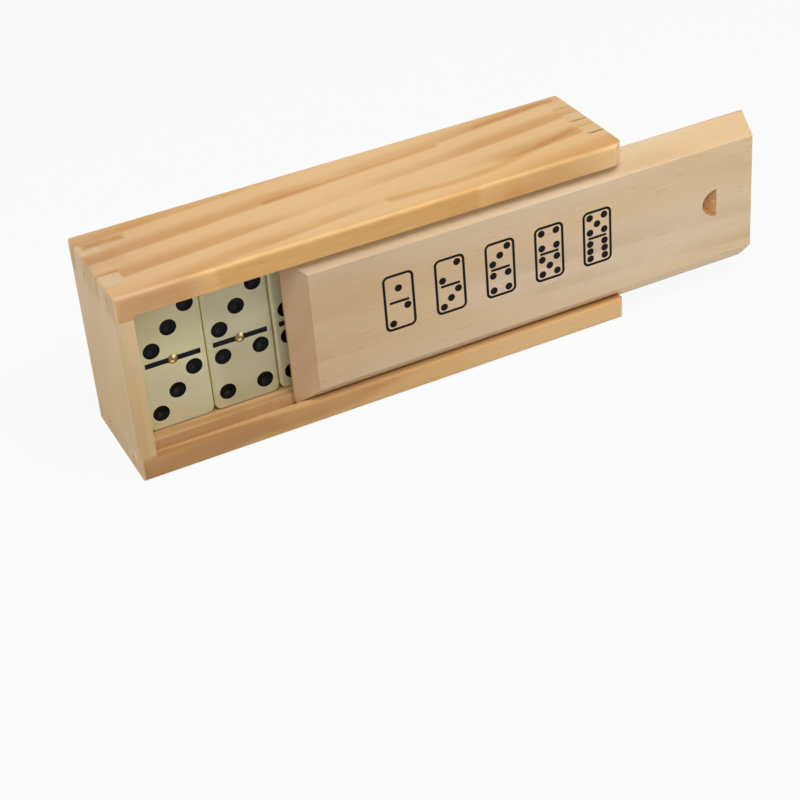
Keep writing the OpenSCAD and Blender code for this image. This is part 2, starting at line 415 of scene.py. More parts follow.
def wood(name, tones, grain, pith, ring, contrast, seed=0.0, wander=(5.0, 5.0), drift=0.0, flecked=0.12,
         edge_highlight=0.0, tone_and_shade_gradient=None, streaks=(), stains=(), ior=1.38):
    """Lacquered wood, with lengths in millimetres. tones are the colours of the early wood, the late
    wood and the cut ends. grain is the number of the axis that the fibres follow. pith is the rings'
    centre on the other two axes, ring their spacing and contrast their strength. seed picks the
    noise, wander is how far it bends the rings, and drift is the pith's slope against the grain.
    flecked is the strength of the dark flecks. The argument after it is the strength of a painted
    highlight on the rounded edges. The next is (start, stop, tint), a gradient along the grain: the
    tint is whole below start and gone above stop, and on some boards it is painted shade. A streak
    is (half width, point, point, ...), and a stain is (middle, half size, softness, tint)."""
    material, shader = new_material(name, IOR=ior, Coat_Weight=LACQUER_COAT, Coat_Roughness=0.3)
    place, normal = place_and_normal(material)
    axes = place.parts()
    along = axes[grain]
    across = [axis for number, axis in enumerate(axes) if number != grain]
    end_grain = abs(normal.parts()[grain]).ramp(0.45, 0.8)

    slow = drawn_out(along, across, SLOW_MM).vector("ADD", (seed, seed * 1.7, 0.0))
    late_part = late_wood(along, across, slow, pith, ring, wander, drift)
    patchy = slow.vector("MULTIPLY", (2.0, 1.3, 1.3)).noise().ramp(0.32, 0.68)
    fibres = drawn_out(along, across, FIBRE_MM).noise(detail=3.0, roughness=0.6)
    flecks = drawn_out(along, across, FLECK_MM).noise(detail=1.0).ramp(0.63, 0.74)
    warm = slow.vector("ADD", WARM_OFFSET).noise(detail=1.5).ramp(0.42, 0.62)

    depth = late_part * (0.3 + 0.7 * patchy) * contrast
    depth = depth + (fibres - 0.5) * FIBRE_CONTRAST + (patchy - 0.5) * PATCH_CONTRAST
    body = depth.ramp(-0.15, 1.0).colours(colour(*tones.early), colour(*tones.late))
    body = (flecks * flecked).colours(body, darker(tones.late, FLECK_SHADE))
    body = (end_grain * CUT_SHARE).colours(body, end_cut(place, tones.cut))
    body = tinted(body, warm, WARM_TINT)
    body = marked(body, place, normal, along, edge_highlight, tone_and_shade_gradient, streaks, stains)

    rough = 0.42 + fibres * 0.12 + end_grain * 0.16
    height = fibres * 0.55 + (1 - late_part) * 0.25
    feed(shader, Base_Color=body, Roughness=rough, Normal=bump(height, 0.05, 0.5))
    return Wood(material, shader, body, place, normal)


print("a board's colours:", Tones._fields, "and its finish:", Wood._fields)

# %% [markdown]
# ## The long boards
# The two long boards are of pine with strong rings, and carry broad orange
# figure. Their fingers show end grain on the box's left end, which is paler
# than the end board between them. A thin dark line of glue shows at the side
# of some fingers. The floor of the lid groove in the bottom board is tinted
# paler and less orange. One plank could make both boards, but then their
# figure would run alike, so each has rings and marks of its own.

# %% Choose the long boards' colours and marks
TOP_Z = 75.0
LEFT_X = -99.0
FRONT_Y = -25.0
TOP_TONES = Tones(early=(0.80, 0.52, 0.235), late=(0.63, 0.33, 0.105), cut=(0.86, 0.62, 0.32))
BOTTOM_TONES = Tones(early=(0.80, 0.525, 0.245), late=(0.58, 0.31, 0.105), cut=(1.0, 0.72, 0.40))
GLUE_TINT = (0.45, 0.30, 0.16)
DARK_SPOT_TINT = (0.62, 0.50, 0.40)
RESIN_TINT = (0.84, 0.68, 0.50)
DEEP_TINT = (0.87, 0.78, 0.58)
PALE_TINT = (1.04, 1.15, 1.36)
GREY_TINT = (0.94, 0.98, 1.11)
GROOVE_PALE_TINT = (1.14, 1.18, 1.34)
HONEY_TINT = (1.0, 0.94, 0.80)
RESIN_PATCH = ((-89.0, 14.2, TOP_Z), (7.5, 1.7, 1.0), 1.4, (0.74, 0.56, 0.38))

# Each stain is (middle, half size, softness, tint).
# Small dark spots on the left end, near its top and its foot.
left_dark_spots = [
    ((LEFT_X, -17.2, 69.5), (1.5, 0.3, 3.0), 0.9, DARK_SPOT_TINT),
    ((LEFT_X, -7.4, 70.5), (1.5, 0.3, 2.2), 0.8, DARK_SPOT_TINT),
    ((LEFT_X, 6.6, 69.0), (1.5, 0.3, 1.0), 0.8, DARK_SPOT_TINT),
    ((LEFT_X, 17.6, 71.5), (1.5, 0.3, 2.6), 0.8, DARK_SPOT_TINT),
    ((LEFT_X, 9.4, 5.6), (1.5, 0.4, 1.4), 0.9, DARK_SPOT_TINT),
    ((LEFT_X, -15.4, 4.6), (1.5, 0.4, 1.6), 0.9, DARK_SPOT_TINT),
]
right_glue = [
    ((95.5, 0.9, TOP_Z), (3.2, 0.5, 1.5), 0.7, GLUE_TINT),
    ((95.5, -11.3, TOP_Z), (3.0, 0.5, 1.5), 0.7, GLUE_TINT),
]
left_resin = [
    RESIN_PATCH,
    ((-94.0, 2.0, TOP_Z), (7.0, 4.5, 1.0), 2.0, (0.90, 0.88, 0.86)),
    ((-95.0, -7.2, TOP_Z), (4.0, 0.5, 1.0), 0.7, RESIN_TINT),
]
# Tints on the top board's front strip: deeper in the middle, paler at the right, greyer at the left.
top_front_strip_tints = [
    ((-12.0, FRONT_Y, 70.0), (50.0, 1.0, 5.0), 2.0, DEEP_TINT),
    ((78.0, FRONT_Y, 70.0), (22.0, 1.0, 5.0), 2.0, PALE_TINT),
    ((-84.0, FRONT_Y, 70.0), (15.0, 1.2, 6.0), 2.0, GREY_TINT),
]
top_streaks = [
    (2.2, (8.0, -15.6), (30.0, -16.6), (48.0, -15.6), (66.0, -11.4), (88.0, -5.0)),
    (1.8, (60.0, 17.4), (94.0, 21.2)),
    (1.5, (-30.0, 8.0), (40.0, 12.5)),
]

top_stains = right_glue + left_resin + top_front_strip_tints + left_dark_spots
# The first stain tints the floor of the lid groove paler and less orange.
bottom_stains = [
    ((-10.0, -16.0, 8.8), (100.0, 4.2, 1.6), 1.2, GROOVE_PALE_TINT),
    ((-12.0, FRONT_Y, 4.0), (40.0, 1.2, 7.0), 2.0, HONEY_TINT),
    *left_dark_spots,
]
print("stains on the top board:", len(top_stains), "and on the bottom board:", len(bottom_stains))

# %% Cut the long boards
ALONG, UPRIGHT = 0, 2

top_pine = wood(
    "top_board_pine", TOP_TONES, grain=ALONG, pith=(78.0, 62.0), ring=14.0, contrast=0.9, seed=4.2,
    wander=(16.0, 4.0), drift=-0.10, flecked=0.22, edge_highlight=0.9, tone_and_shade_gradient=(LEFT_X, -55.0, (0.92, 0.92, 1.0)),
    streaks=top_streaks, stains=top_stains,
)
bottom_pine = wood(
    "bottom_board_pine", BOTTOM_TONES, grain=ALONG, pith=(-110.0, 30.0), ring=9.0, contrast=0.9, seed=8.0,
    wander=(6.0, 8.0), drift=0.03, flecked=0.22, edge_highlight=0.5, tone_and_shade_gradient=(-70.0, 95.0, (0.76, 0.74, 0.72)),
    stains=bottom_stains,
)
for pine in (top_pine, bottom_pine):
    print(pine.material.name, "nodes:", len(pine.material.node_tree.nodes))

# %% [markdown]
# ## The ends, the back and the lid
# The end boards stand with their grain upright, so that the fingers at their
# own two ends are strong, and are cut from plainer, paler wood. The panel at
# the back and the lid are of a paler wood still. The lid's rings are faint and
# its lacquer is less glossy. Its upper bevel is tinted warmer, which is partly
# a painted warm glow below the top board's lip, and its lower bevel is painted
# paler, a painted bounce of light from the floor. The lid is painted darker
# towards its left end and the left end board towards its foot, both painted shade.

# %% Cut the ends, the back and the lid
LEFT_TONES = Tones(early=(0.78, 0.55, 0.275), late=(0.69, 0.445, 0.205), cut=(0.76, 0.54, 0.325))
RIGHT_TONES = LEFT_TONES._replace(cut=(0.79, 0.53, 0.265))
PANEL_TONES = Tones(early=(0.78, 0.60, 0.38), late=(0.62, 0.42, 0.23), cut=(0.78, 0.55, 0.29))
LID_TONES = Tones(early=(0.80, 0.635, 0.445), late=(0.68, 0.485, 0.30), cut=(0.69, 0.47, 0.30))
# The upper bevel's warm tint is partly a painted glow below the lip, and the lower bevel's pale tint is a
# painted bounce of light from the floor.
UPPER_BEVEL_GLOW_TINT = (1.0, 0.95, 0.85)
LOWER_BEVEL_BOUNCE_TINT = (1.07, 1.09, 1.10)

# The gradient on this board is painted shade: darker and warmer towards its foot.
left_pine = wood(
    "left_end_pine", LEFT_TONES, grain=UPRIGHT, pith=(-140.0, 6.0), ring=6.0, contrast=0.4, seed=1.0,
    tone_and_shade_gradient=(15.0, 72.0, (0.87, 0.81, 0.65)),
    stains=[RESIN_PATCH, ((-94.0, FRONT_Y, 37.0), (6.0, 1.2, 40.0), 1.0, GREY_TINT), *left_dark_spots],
)
right_pine = wood(
    "right_end_pine", RIGHT_TONES, grain=UPRIGHT, pith=(150.0, -20.0), ring=6.0, contrast=0.5, seed=5.0
)
panel_wood = wood(
    "back_panel_wood", PANEL_TONES, grain=ALONG, pith=(70.0, 20.0), ring=9.0, contrast=0.5, seed=12.0
)
# The gradient on the lid is painted shade, darker towards its left end.
lid_wood = wood(
    "lid_wood", LID_TONES, grain=ALONG, pith=(30.0, 58.0), ring=6.5, contrast=0.45, seed=6.0,
    wander=(5.0, 9.0), drift=0.03, flecked=0.3, tone_and_shade_gradient=(-40.0, 140.0, (0.84, 0.80, 0.77)),
    stains=[
        # Painted light on the two bevels: a warm glow on the upper one, a bounce of light on the lower
        # one.
        ((55.0, -20.0, 66.5), (105.0, 8.0, 4.6), 1.2, UPPER_BEVEL_GLOW_TINT),
        ((55.0, -20.0, 9.0), (105.0, 8.0, 4.6), 1.2, LOWER_BEVEL_BOUNCE_TINT),
    ],
    ior=1.2,
)
for pine in (left_pine, right_pine, panel_wood, lid_wood):
    print(pine.material.name, "nodes:", len(pine.material.node_tree.nodes))

# %% [markdown]
# ## The printed lid
# The lid carries a row of five dominoes, printed in black ink. Ink lies in
# the lacquer with no thickness, so it belongs in the lid's own material and
# not on a sheet of its own above the wood: a mask, worked out from the place
# on the lid's face, mixes black over the wood. Folding the coordinates about
# each domino's middle lets one distance stand for two or four pips.

# %% Draw one printed domino
PRINT_COUNT = 5
PRINT_WIDTH = 11.4
PRINT_LENGTH = 22.0
PRINT_PITCH = 20.6
PRINT_CORNER = 1.9
PRINT_LINE = 1.05
PRINT_BAR = 7.8
PRINT_PIP = 1.45
PRINT_STEP = 3.1
PRINT_MIDDLE_X = 45.0
PRINT_MIDDLE_Z = 39.5
SOFT_EDGE = 0.06


def inked(distance):
    """1 inside a shape, 0 outside, with an edge a tenth of a millimetre soft."""
    return distance.ramp(-SOFT_EDGE, SOFT_EDGE, 1.0, 0.0)


def printed_pips(u, v, count):
    """Pips of one half. u and v run across and along from the half's middle."""
    found = []
    if count % 2:
        found.append(from_point(u, v, (0.0, 0.0)))
    if count in (2, 3):
        side = u.math("SIGN")
        found.append(from_point(abs(u), v * side, (PRINT_STEP, PRINT_STEP)))
    if count > 3:
        found.append(from_point(abs(u), abs(v), (PRINT_STEP, PRINT_STEP)))
    if count == 6:
        found.append(from_point(abs(u), v, (PRINT_STEP, 0.0)))
    nearest = found[0]
    for other in found[1:]:
        nearest = nearest.least(other)
    return inked(nearest - PRINT_PIP)


def printed_frame(u, v):
    """The outline of every domino in the row, and the bar across its middle."""
    reach_u = abs(u) - (PRINT_WIDTH / 2 - PRINT_CORNER)
    reach_v = abs(v) - (PRINT_LENGTH / 2 - PRINT_CORNER)
    outside = from_point(reach_u.most(0.0), reach_v.most(0.0), (0.0, 0.0))
    inside = reach_u.most(reach_v).least(0.0)
    edge = inked(abs(outside + inside - PRINT_CORNER) - PRINT_LINE / 2)
    bar = inked((abs(u) - PRINT_BAR / 2).most(abs(v) - PRINT_LINE / 2))
    return edge.most(bar)


print("printed pips:", 2 * PRINT_PIP, "mm wide, printed lines:", PRINT_LINE, "mm wide")

# %% Draw the row
FACE_SLACK_MM = 0.02


def on_face(y):
    """1 on the lid's flat face, 0 on its bevels and back."""
    low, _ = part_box("lid")
    return y < low.y / MM + FACE_SLACK_MM


def lid_print(place):
    """1 where the lid is inked. The domino at step n has n + 1 pips over n + 2."""
    x, y, z = place.parts()
    v = z - PRINT_MIDDLE_Z
    first = PRINT_MIDDLE_X - (PRINT_COUNT - 1) / 2 * PRINT_PITCH
    step = ((x - first) / PRINT_PITCH + 0.5).math("FLOOR").most(0.0).least(PRINT_COUNT - 1.0)
    u = x - first - step * PRINT_PITCH
    ink = printed_frame(u, v)
    half = v.math("SIGN")
    from_half = abs(v) - PRINT_LENGTH / 4
    for number in range(PRINT_COUNT):
        here = abs(step - number) < 0.5
        upper = printed_pips(u, from_half, number + 1) * (half > 0.0)
        lower = printed_pips(u, 0 - from_half, number + 2) * (half < 0.0)
        ink = ink.most((upper + lower) * here)
    return ink * on_face(y)


print("printed row:", round((PRINT_COUNT - 1) * PRINT_PITCH + PRINT_WIDTH, 1), "x", PRINT_LENGTH, "mm")

# %% [markdown]
# ## The lid's notch and edges
# A half-moon notch near the lid's open end takes a thumbnail. The cutter
# leaves its wall rough and without lacquer, so it is darker and shows torn
# fibres; part of that darkness is painted shade in the recess. The long edge
# between the face and each bevel is painted pale, a painted highlight along
# the rounded edge. The shape of both is there already, so all that they need
# is masks: the notch by its place, the edges by the normal.

# %% Finish the lid
NOTCH_FROM_END = 16.0
NOTCH_REACH = 6.6
NOTCH_SUNK = 0.12
# The notch's dark tone is partly painted shade.
NOTCH_PALE, NOTCH_DARK = (0.64, 0.35, 0.15), (0.41, 0.20, 0.07)
# A painted highlight along the lid's arris.
ARRIS_HIGHLIGHT_TINT = (1.12, 1.13, 1.12)
INK = (0.004, 0.003, 0.003)


def in_notch(place):
    """1 on the cut surface of the thumb notch."""
    x, y, z = place.parts()
    low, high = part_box("lid")
    sunk = y > low.y / MM + NOTCH_SUNK
    beside = abs(x - (high.x / MM - NOTCH_FROM_END - NOTCH_REACH / 2)) < NOTCH_REACH / 2 + 0.4
    return sunk * beside * (abs(z - (low.z + high.z) / 2 / MM) < NOTCH_REACH)


def torn_fibres_and_shade(place):
    """The colour of wood that a cutter left rough, darkened further by painted shade."""
    x, y, z = place.parts()
    torn = (x * 0.35).joined(y * 2.4, z * 2.4).noise(roughness=0.7).ramp(0.35, 0.65)
    return torn.colours(colour(*NOTCH_PALE), colour(*NOTCH_DARK))


def arris_highlight(normal):
    """1 where the lid's face rounds over into a bevel, 0 on the face and on the bevels."""
    facing = abs(normal.parts()[1])
    return facing.ramp(0.77, 0.84) * facing.ramp(0.93, 0.99, 1.0, 0.0)


def finish_lid(pine):
    uneven = pine.place.vector("SCALE", Scale=1.6).noise(detail=3.0)
    ink = lid_print(pine.place) * uneven.ramp(0.2, 0.42, 0.9, 1.0)
    # The notch's colour: rough end grain, with painted shade in the recess.
    body = in_notch(pine.place).colours(pine.body, torn_fibres_and_shade(pine.place))
    # A painted highlight where the face rounds over into a bevel.
    body = tinted(body, arris_highlight(pine.normal) * 0.8, ARRIS_HIGHLIGHT_TINT)
    body = ink.colours(body, colour(*INK))
    feed(pine.shader, Base_Color=body, Coat_Weight=LACQUER_COAT - ink * LACQUER_COAT)


finish_lid(lid_wood)
print("nodes in the lid's wood with its print:", len(lid_wood.material.node_tree.nodes))

# %% [markdown]
# ## Boards, panel and lid
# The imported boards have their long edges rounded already, but in narrow flat
# facets and with each face split in triangles. Rebuilt as clean polygons and
# shaded smooth, the facets read as one round edge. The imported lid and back
# panel are saw-sharp, and such an edge never catches the light. A woodworker
# breaks it with sandpaper. A Bevel modifier does that here, a quarter of a
# millimetre wide on the panel and over a millimetre on the lid. It works on
# the clean polygons, as it would round the triangles' edges too.

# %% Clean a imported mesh
SAME_POINT_MM = 0.0005
SAME_PLANE = math.radians(0.5)


def clean_mesh(node):
    """The node's shape as a fresh mesh of flat polygons."""
    work = bmesh.new()
    work.from_mesh(frame["nodes"][node].data)
    bmesh.ops.remove_doubles(work, verts=work.verts, dist=SAME_POINT_MM * MM)
    bmesh.ops.dissolve_limit(
        work, angle_limit=SAME_PLANE, verts=work.verts, edges=work.edges, use_dissolve_boundaries=False
    )
    corners = [vertex.co.copy() for vertex in work.verts]
    work.verts.index_update()
    faces = [[vertex.index for vertex in face.verts] for face in work.faces]
    work.free()
    mesh = bpy.data.meshes.new(node)
    mesh.from_pydata(corners, [], faces)
    return mesh


print("the packed lid's faces:", len(frame["nodes"]["lid"].data.polygons))

# %% Ease and shade a piece
EASE_STEPS = 3
SHARP_ANGLE = math.radians(35)


def ease(piece, width_mm):
    """Bevels the sharp edges of a piece."""
    work = bmesh.new()
    work.from_mesh(piece.data)
    weight = work.edges.layers.float.new("bevel_weight_edge")
    sharp = [
        edge for edge in work.edges if len(edge.link_faces) == 2 and edge.calc_face_angle() > SHARP_ANGLE
    ]
    for edge in sharp:
        edge[weight] = 1.0
    work.to_mesh(piece.data)
    work.free()
    bevel = piece.modifiers.new("eased edges", "BEVEL")
    bevel.limit_method = "WEIGHT"
    bevel.width = width_mm * MM
    bevel.segments = EASE_STEPS
    bevel.use_clamp_overlap = True
    bevel.harden_normals = False
    print(piece.name, "edges eased:", len(sharp))


def stands_for(piece, node):
    """Shades a piece smooth with its flat faces flat, and has it ride and stand in for a packed one."""
    for polygon in piece.data.polygons:
        polygon.use_smooth = True
    piece.data.set_sharp_from_angle(angle=SHARP_ANGLE)
    weighted = piece.modifiers.new("flat faces", "WEIGHTED_NORMAL")
    weighted.keep_sharp = True
    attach(piece, body_of(frame["nodes"][node])[0])
    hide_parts(node)


print("edges are sharp over", round(math.degrees(SHARP_ANGLE)), "degrees")

# %% Rebuild the wooden pieces
PANEL_EASE_MM = 0.25
LID_EASE_MM = 1.1


def rebuilt(node, pine, ease_mm=0.0):
    mesh = clean_mesh(node)
    mesh.materials.append(pine.material)
    piece = bpy.data.objects.new(node + "_eased", mesh)
    bpy.context.scene.collection.objects.link(piece)
    if ease_mm:
        ease(piece, ease_mm)
    stands_for(piece, node)
    print(node, "polygons:", len(mesh.polygons))


rebuilt("top_board", top_pine)
rebuilt("bottom_board", bottom_pine)
rebuilt("left_end", left_pine)
rebuilt("right_end", right_pine)
rebuilt("back_panel", panel_wood, PANEL_EASE_MM)
rebuilt("lid", lid_wood, LID_EASE_MM)

# %% [markdown]
# ## Resin and paint
# A domino is pressed from ivory-coloured resin and polished. Light enters
# the resin and comes out again, so it has some subsurface scattering. Its
# rims and sides are painted brighter as well, a painted glow for light that
# gets through the thin rims and bounces in the gaps. Resin yellows unevenly,
# so the colour drifts from domino to domino in slow clouds, and two soft boxes
# paint shade low on one domino and light high on its neighbour. The pips are a
# glossy black paint with a painted gleam low in each dish, and the bar is a
# duller black. A plain white plastic with plain black dots would be simpler,
# but would look like paper.

# %% Mix the resin
RESIN_DEEP, RESIN_PALE = (0.66, 0.615, 0.39), (0.71, 0.665, 0.435)
# A painted glow on the domino's rims and sides.
RIM_GLOW_TINT = (1.3, 1.3, 1.26)
# Painted shade low on one domino and painted light high on its neighbour.
RESIN_LIGHT_AND_SHADE = [
    ((-51.0, -10.0, 22.0), (12.0, 12.0, 16.0), (0.80, 0.78, 0.75)),
    ((-80.0, -10.0, 46.0), (14.0, 12.0, 14.0), (1.12, 1.15, 1.06)),
]
LIGHT_AND_SHADE_SOFT = 7.0


def resin():
    material, shader = new_material(
        "ivory_resin", Roughness=0.2, IOR=1.5, Subsurface_Weight=0.6, Subsurface_Scale=0.0035,
        Subsurface_Radius=(1.0, 0.8, 0.45),
    )
    place, normal = place_and_normal(material)
    clouds = place.vector("SCALE", Scale=0.045).noise().ramp(0.3, 0.7)
    body = clouds.colours(colour(*RESIN_DEEP), colour(*RESIN_PALE))
    # The rims and sides are painted brighter, a painted glow.
    thin = abs(normal.parts()[1]).ramp(0.35, 0.97, 1.0, 0.0)
    body = tinted(body, thin, RIM_GLOW_TINT)
    # Two soft boxes of painted shade and painted light.
    for middle, half, tint in RESIN_LIGHT_AND_SHADE:
        tone = outside_box(place, middle, half).ramp(-LIGHT_AND_SHADE_SOFT, LIGHT_AND_SHADE_SOFT, 1.0, 0.0)
        body = tinted(body, tone, tint)
    haze = place.vector("SCALE", Scale=0.35).noise(detail=3.0)
    waves = place.vector("SCALE", Scale=0.12).noise(detail=1.0)
    feed(shader, Base_Color=body, Roughness=0.16 + haze * 0.12, Normal=bump(waves, 0.06, 0.35))
    return material


resin_ivory = resin()
print("resin nodes:", len(resin_ivory.node_tree.nodes))

# %% Mix the paints
# Where a painted gleam sits in each pip's dish.
GLEAM_TILT = (0.06, 0.14)


def leaning(normal, tilt, near, far):
    """1 where a face leans across and up by about the tilt, 0 where it differs by more than far."""
    across, _, upward = normal.parts()
    return from_point(across, upward, tilt).ramp(near, far, 1.0, 0.0)


def paint(name, roughness, shade, grit, gleam=0.0):
    """Black paint. grit is how many specks lie on a millimetre, and the last argument is the brightness
    of a painted gleam low in a dish.
    """
    material, shader = new_material(name, IOR=1.16)
    place, normal = place_and_normal(material)
    specks = place.vector("SCALE", Scale=grit).noise()
    dark = colour(shade, shade, shade * 1.1)
    body = specks.colours(dark, colour(shade * 1.8, shade * 1.8, shade * 2.0))
    if gleam:
        # A painted gleam, a painted reflection low in the dish.
        gleam_spot = leaning(normal, GLEAM_TILT, 0.02, 0.26)
        body = (gleam_spot * (0.5 + specks)).colours(body, colour(gleam, gleam, gleam * 1.25))
    rough = roughness + specks * 0.15
    feed(shader, Base_Color=body, Roughness=rough, Normal=bump(specks, 0.02, 0.3))
    return material


pip_black = paint("pip_gloss_black", 0.1, 0.003, 1.2, gleam=0.022)
bar_black = paint("bar_satin_black", 0.38, 0.010, 3.0)
print("paint nodes:", [len(black.node_tree.nodes) for black in (pip_black, bar_black)])

# %% [markdown]
# ## The domino's slab
# The slab's corners and its rim are both rounded. A bevelled block would
# round them alike, but the corners are far rounder than the rim. So the slab
# is a stack of rounded outlines, drawn in where the rim curves.

# %% Stack the slab
CORNER_MM = 2.8
RIM_MM = 1.1
CORNER_STEPS = 9
RIM_STEPS = 6


def outline(middle, width, length, corner, y):
    """A rounded rectangle round the middle, upright at depth y."""
    points = []
    for quarter in range(4):
        side_x = 1 if quarter in (0, 3) else -1
        side_z = 1 if quarter < 2 else -1
        centre_x = middle.x + side_x * (width / 2 - corner)
        centre_z = middle.z + side_z * (length / 2 - corner)
        for step in range(CORNER_STEPS):
            angle = math.pi / 2 * (quarter + step / (CORNER_STEPS - 1))
            reach = corner * Vector((math.cos(angle), 0, math.sin(angle)))
            points.append(Vector((centre_x, y, centre_z)) + reach)
    return points


def rim_profile(thickness):
    """(inset, depth) from the flat face, round the rim, to the flat back."""
    front = []
    for step in range(RIM_STEPS + 1):
        angle = math.pi / 2 * step / RIM_STEPS
        front.append((RIM_MM * MM * (1 - math.sin(angle)), RIM_MM * MM * (1 - math.cos(angle))))
    return front + [(inset, thickness - depth) for inset, depth in reversed(front)]


def slab(low, high):
    size = high - low
    middle = (low + high) / 2
    work = bmesh.new()
    rings = []
    for inset, depth in rim_profile(size.y):
        corner = CORNER_MM * MM - inset
        points = outline(middle, size.x - 2 * inset, size.z - 2 * inset, corner, low.y + depth)
        rings.append([work.verts.new(point) for point in points])
    for ring, following in zip(rings, rings[1:]):
        for here in range(len(ring)):
            there = (here + 1) % len(ring)
            work.faces.new((ring[here], ring[there], following[there], following[here]))
    work.faces.new(list(reversed(rings[0])))
    work.faces.new(rings[-1])
    return work


print("points in a slab:", 4 * CORNER_STEPS * 2 * (RIM_STEPS + 1))

# %% [markdown]
# ## Pips and bar
# Each pip is a shallow dish and the bar a shallow trough. Both could be
# painted on the flat face, but then they wouldn't catch the light as dished
# paint does. Here one cutter for each domino holds a lens for every pip and a
# block for the bar, and a Boolean takes it out of the slab. The cutter's faces
# carry the paints, so that each paint ends exactly at its recess.

# %% Shape a pip's lens and the bar's block
PIP_MM = 6.3
PIP_DEPTH_MM = 0.9
PIP_AROUND = 36
PIP_RINGS = 7
LENS_SPARE_MM = 0.5
PIP, BAR = 1, 2  # the paints' material slots, after the resin's


def add_lens(work, centre):
    """A lens that cuts one dished pip and stands a little out of the face."""
    ball = ((PIP_MM / 2) ** 2 + PIP_DEPTH_MM**2) / (2 * PIP_DEPTH_MM)
    widest = math.asin((PIP_MM / 2 + LENS_SPARE_MM) / ball)
    tip = work.verts.new(centre + Vector((0, PIP_DEPTH_MM * MM, 0)))
    rings = []
    for step in range(1, PIP_RINGS + 1):
        angle = widest * step / PIP_RINGS
        reach = ball * math.sin(angle) * MM
        depth = (PIP_DEPTH_MM - ball * (1 - math.cos(angle))) * MM
        rings.append([
            work.verts.new(centre + Vector((reach * math.cos(turn), depth, reach * math.sin(turn))))
            for turn in (2 * math.pi * part / PIP_AROUND for part in range(PIP_AROUND))
        ])
    faces = [work.faces.new(rings[-1])]
    for here in range(PIP_AROUND):
        there = (here + 1) % PIP_AROUND
        faces.append(work.faces.new((tip, rings[0][there], rings[0][here])))
        for ring, following in zip(rings, rings[1:]):
            faces.append(work.faces.new((ring[here], ring[there], following[there], following[here])))
    for face in faces:
        face.material_index = PIP


def add_bar(work, low, high):
    """A block that cuts the bar's trough."""
    middle, size = (low + high) / 2, high - low
    for vertex in bmesh.ops.create_cube(work, size=1.0)["verts"]:
        vertex.co = middle + Vector(part * whole for part, whole in zip(vertex.co, size))
        for face in vertex.link_faces:
            face.material_index = BAR


print("points in a lens:", PIP_AROUND * PIP_RINGS + 1)

# %% Lay out a domino's cutters
PIP_ACROSS_MM = 7.2
PIP_ALONG_MM = 7.4
PIP_MIDDLE_MM = 13.0
BAR_ACROSS_MM = 20.6
BAR_ALONG_MM = 2.0
BAR_DEPTH_MM = 0.5
BAR_SPARE_MM = 1.0


def pip_places(count):
    """Pips of one half, in steps from its middle. Three pips rise to the right."""
    places = [(0, 0)] if count % 2 else []
    if count >= 2:
        places += [(-1, -1), (1, 1)]
    if count >= 4:
        places += [(-1, 1), (1, -1)]
    if count == 6:
        places += [(-1, 0), (1, 0)]
    return places


def recess_cutter(node):
    """The cutter for a domino, whose name ends in its upper and its lower count."""
    low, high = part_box(node)
    face = Vector(((low.x + high.x) / 2, low.y, (low.z + high.z) / 2))
    work = bmesh.new()
    for half, count in zip((1, -1), map(int, node.split("_")[1:])):
        for across, along in pip_places(count):
            place = Vector((across * PIP_ACROSS_MM, 0, along * PIP_ALONG_MM + half * PIP_MIDDLE_MM))
            add_lens(work, face + place * MM)
    reach = Vector((BAR_ACROSS_MM / 2, BAR_DEPTH_MM, BAR_ALONG_MM / 2)) * MM
    add_bar(work, face - Vector((reach.x, BAR_SPARE_MM * MM, reach.z)), face + reach)
    return work


print("pips on a double six:", 2 * len(pip_places(6)))

# %% [markdown]
# ## The set of dominoes
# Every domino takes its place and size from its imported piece, and its pips
# from that piece's name. A hair-fine bevel rounds the lip of each recess,
# which gives each pip its bright ring. The Boolean is applied at once, because
# its cutter is then thrown away, while the bevel stays a modifier.

# %% Make the dominoes
LIP_MM = 0.12
LIP_STEPS = 2
LIP_ANGLE = math.radians(28)


def to_object(name, work):
    mesh = bpy.data.meshes.new(name)
    bmesh.ops.recalc_face_normals(work, faces=work.faces)
    work.to_mesh(mesh)
    work.free()
    for material in (resin_ivory, pip_black, bar_black):
        mesh.materials.append(material)
    made = bpy.data.objects.new(name, mesh)
    bpy.context.scene.collection.objects.link(made)
    return made


def domino(node):
    piece = to_object(node + "_polished", slab(*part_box(node)))
    cutter = to_object(node + "_cutter", recess_cutter(node))
    cut = piece.modifiers.new("recesses", "BOOLEAN")
    cut.operation = "DIFFERENCE"
    cut.solver = "EXACT"
    cut.object = cutter
    whole = piece.evaluated_get(bpy.context.evaluated_depsgraph_get())
    piece.data = bpy.data.meshes.new_from_object(whole)
    piece.modifiers.remove(cut)
    bpy.data.objects.remove(cutter)
    lip = piece.modifiers.new("recess lips", "BEVEL")
    lip.limit_method = "ANGLE"
    lip.angle_limit = LIP_ANGLE
    lip.width = LIP_MM * MM
    lip.segments = LIP_STEPS
    stands_for(piece, node)
    return piece


dominoes = [domino(node) for node in sorted(frame["nodes"]) if node.startswith("domino_")]
print("dominoes:", len(dominoes), "faces in the first:", len(dominoes[0].data.polygons))

# %% [markdown]
# ## Brass pins
# A brass pin with a domed head stands in the middle of each face. It keeps
# the pips off the table when dominoes are shuffled face down, and lets them
# spin. The imported pins have the right shape already, so they only get a
# metal: fine turning marks round the dome and faint tarnish. The crown and
# the edge of the dome are painted dark brown, a painted dark reflection, and
# two sides are painted bright, as painted highlights. They are found by the
# way the surface leans, so all pins get them.

# %% Polish the pins
BRASS_GOLD, BRASS_AMBER = (0.86, 0.72, 0.45), (0.70, 0.52, 0.24)
# Painted dark reflection on the dome's crown and edge.
BRASS_DARK_REFLECTION = (0.22, 0.14, 0.055)
UPPER_TILT, LOWER_TILT = (0.12, 0.42), (-0.14, -0.30)


